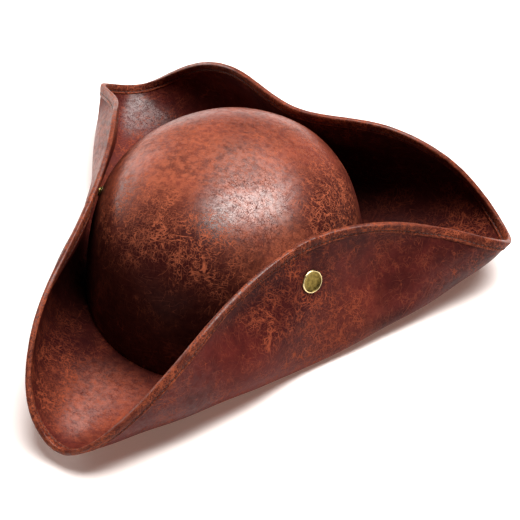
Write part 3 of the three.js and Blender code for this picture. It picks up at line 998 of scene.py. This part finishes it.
# Painted light: the table glows faintly warm, though it is no lamp, to lighten and warm the shadows
# on it and light the hat a little from below, in place of the light the leather throws back.
GLOW_COLOUR = (1, 0.60, 0.48, 1)
GLOW_STRENGTH = 0.18
floor_mesh = bmesh.new()
bmesh.ops.create_grid(floor_mesh, x_segments=1, y_segments=1, size=FLOOR_SIZE / 2)
floor_finish, floor_tree, floor_shader = new_material("studio table")
floor_place = object_place(floor_tree)
floor_tone = clouds(floor_tree, floor_place, 3, 2)
floor_colour = blend_colour(floor_tree, floor_tone, (0.86, 0.86, 0.86, 1), (0.88, 0.88, 0.88, 1))
feed(floor_tree, floor_shader.inputs["Base Color"], floor_colour)
floor_shader.inputs["Roughness"].default_value = 0.8
floor_shader.inputs["Emission Color"].default_value = GLOW_COLOUR
floor_shader.inputs["Emission Strength"].default_value = GLOW_STRENGTH
from_hat = floor_tree.nodes.new("ShaderNodeVectorMath")
from_hat.operation = "LENGTH"
feed(floor_tree, from_hat.inputs[0], floor_place)
floor_left = ramp(floor_tree, from_hat.outputs["Value"], FADE_START, FADE_END, 1.0, 0.0)
feed(floor_tree, floor_shader.inputs["Alpha"], floor_left)
table = as_piece("studio_table", floor_mesh, floor_finish)

# The lights: a long soft box over the crown, a square one over the back of the brim and a pale
# screen on the hat's left. The backdrop is white, and gives the hat almost no light.
BACKDROP_LIGHT = 0.01
LIGHTS = [
    # direction to the light and which way its width runs; distance, width and height in metres,
    # and power in watts
    {"name": "long_softbox", "colour": (1, 0.93, 0.89),
     "towards": (0.20, 0.24, 0.95), "along": (0.60, 0.69, -0.31),
     "away": 3.0, "width": 2.9, "height": 1.0, "power": 178},
    {"name": "square_softbox", "colour": (1, 0.98, 0.96),
     "towards": (-0.05, 0.47, 0.88), "along": (1, 0, 0),
     "away": 3.0, "width": 2.4, "height": 2.4, "power": 66},
    {"name": "left_screen", "colour": (1, 0.96, 0.93),
     "towards": (-0.95, 0.22, 0.16), "along": (0, 1, 0),
     "away": 2.6, "width": 1.8, "height": 1.4, "power": 48},
]
hat_middle = Vector((0, 0, 50 * MM))
for setup in LIGHTS:
    lamp = bpy.data.lights.new(setup["name"], "AREA")
    lamp.shape = "RECTANGLE"
    lamp.size = setup["width"]
    lamp.size_y = setup["height"]
    lamp.energy = setup["power"]
    lamp.color = setup["colour"]
    towards = Vector(setup["towards"]).normalized()
    upright = towards.cross(Vector(setup["along"])).normalized()
    along = upright.cross(towards)
    holder = bpy.data.objects.new(setup["name"], lamp)
    aimed = Matrix((along, upright, towards)).transposed().to_4x4()
    holder.matrix_world = Matrix.Translation(hat_middle + towards * setup["away"]) @ aimed
    holder.visible_camera = False
    bpy.context.scene.collection.objects.link(holder)
world = bpy.data.worlds.new("studio")
world.use_nodes = True
backdrop = world.node_tree.nodes["Background"]
backdrop.inputs["Color"].default_value = (1, 1, 1, 1)
seen = world.node_tree.nodes.new("ShaderNodeLightPath").outputs["Is Camera Ray"]
strength = math_node(world.node_tree, "MAXIMUM", seen, BACKDROP_LIGHT)
feed(world.node_tree, backdrop.inputs["Strength"], strength)
bpy.context.scene.world = world
bpy.context.scene.view_settings.view_transform = "Standard"

# The camera: high to the right of the hat's front point, with a long lens. It looks at the
# middle of the crown's foot from a place moved a little to the right and up.
CAMERA_TURN = radians(31.433)
CAMERA_RISE = radians(43.749)
CAMERA_ROLL = radians(0.067)
CAMERA_AWAY = 1.19448
CAMERA_RIGHT = 22.38 * MM
CAMERA_UP = 11.33 * MM
# Both in millimetres.
LENS_LENGTH = 123.02
SENSOR_WIDTH = 36
backwards = Vector((sin(CAMERA_TURN) * cos(CAMERA_RISE), -cos(CAMERA_TURN) * cos(CAMERA_RISE),
                    sin(CAMERA_RISE)))
level = Vector((cos(CAMERA_TURN), sin(CAMERA_TURN), 0))
above = backwards.cross(level)
right = cos(CAMERA_ROLL) * level + sin(CAMERA_ROLL) * above
up = cos(CAMERA_ROLL) * above - sin(CAMERA_ROLL) * level
aim = CROWN_MIDDLE + Vector((0, 0, BRIM_MIDDLE))
lens = bpy.data.cameras.new("camera")
lens.sensor_width = SENSOR_WIDTH
lens.lens = LENS_LENGTH
camera = bpy.data.objects.new("camera", lens)
turned = Matrix((right, up, backwards)).transposed().to_4x4()
place = aim + CAMERA_AWAY * backwards + CAMERA_RIGHT * right + CAMERA_UP * up
camera.matrix_world = Matrix.Translation(place) @ turned
bpy.context.scene.collection.objects.link(camera)
bpy.context.scene.camera = camera
